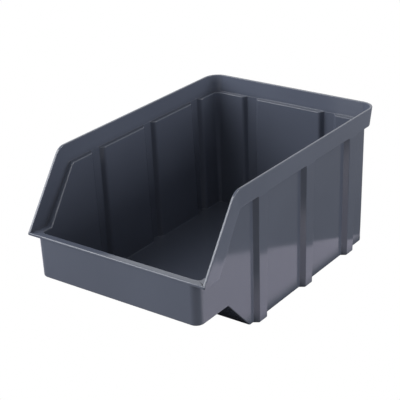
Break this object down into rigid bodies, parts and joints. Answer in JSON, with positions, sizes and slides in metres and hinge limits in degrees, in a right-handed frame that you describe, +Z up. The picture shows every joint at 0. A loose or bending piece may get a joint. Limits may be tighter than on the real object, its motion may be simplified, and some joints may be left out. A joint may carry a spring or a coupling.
{
  "type": "stackable storage bin",
  "caption": "Open-topped plastic storage bin with a low open front, sloping side rims, hollow side ribs and a stepped stacking band around the rim.",
  "frame": {"origin": "centre of the outside length and width, on the plane the bin stands on", "axes": "+X to the right across the bin seen from its open front, +Y from the open front to the rear wall, +Z up; the open low front faces -Y"},
  "size_m": [0.2, 0.2982, 0.147],
  "materials": {
    "moulded_pp": "slate grey polypropylene, semi-gloss, as moulded"
  },
  "bodies": {
    "root": {"floor_pan": "moulded_pp", "front_wall": "moulded_pp", "side_wall_left": "moulded_pp", "side_wall_right": "moulded_pp", "rear_wall": "moulded_pp", "stacking_band": "moulded_pp", "front_lip": "moulded_pp"}
  },
  "joints": []
}
